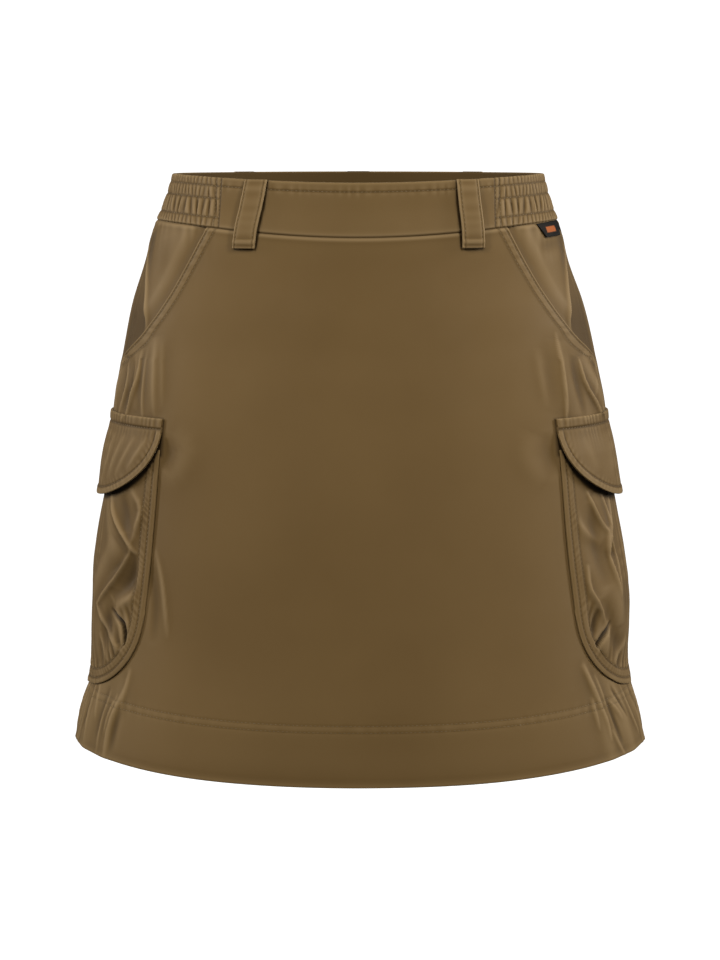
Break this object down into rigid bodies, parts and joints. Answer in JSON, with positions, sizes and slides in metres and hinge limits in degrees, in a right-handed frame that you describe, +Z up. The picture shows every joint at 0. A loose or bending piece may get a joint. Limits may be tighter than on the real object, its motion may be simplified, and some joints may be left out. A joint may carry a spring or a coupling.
{
  "type": "skort",
  "caption": "Short flared cargo skirt over plain shorts, with an elastic waist, belt loops, slanted hand pockets and flapped side pockets.",
  "frame": {"origin": "centre of the waist, about half way up the waistband, where the wearer holds the skort", "axes": "+Z up, the front of the skort faces -Y, the wearer's left side is at +X"},
  "size_m": [0.4382, 0.3085, 0.4372],
  "materials": {
    "skirt_cloth": "smooth stretch woven, slight sheen",
    "shorts_cloth": "plain knit, matt",
    "label_cloth": "woven tape, matt"
  },
  "bodies": {
    "root": {"front_panel": "skirt_cloth", "back_panel": "skirt_cloth", "hip_left": "skirt_cloth", "hip_right": "skirt_cloth", "waistband_front": "skirt_cloth", "waistband_back": "skirt_cloth", "waistband_side_left": "skirt_cloth", "waistband_side_right": "skirt_cloth", "belt_loop_front_left": "skirt_cloth", "belt_loop_front_right": "skirt_cloth", "belt_loop_back_left": "skirt_cloth", "belt_loop_back_right": "skirt_cloth", "belt_loop_back_centre": "skirt_cloth", "cargo_pocket_left": "skirt_cloth", "cargo_pocket_right": "skirt_cloth", "cargo_flap_left": "skirt_cloth", "cargo_flap_right": "skirt_cloth", "label": "label_cloth", "shorts_leg_left": "shorts_cloth", "shorts_leg_right": "shorts_cloth"}
  },
  "joints": []
}
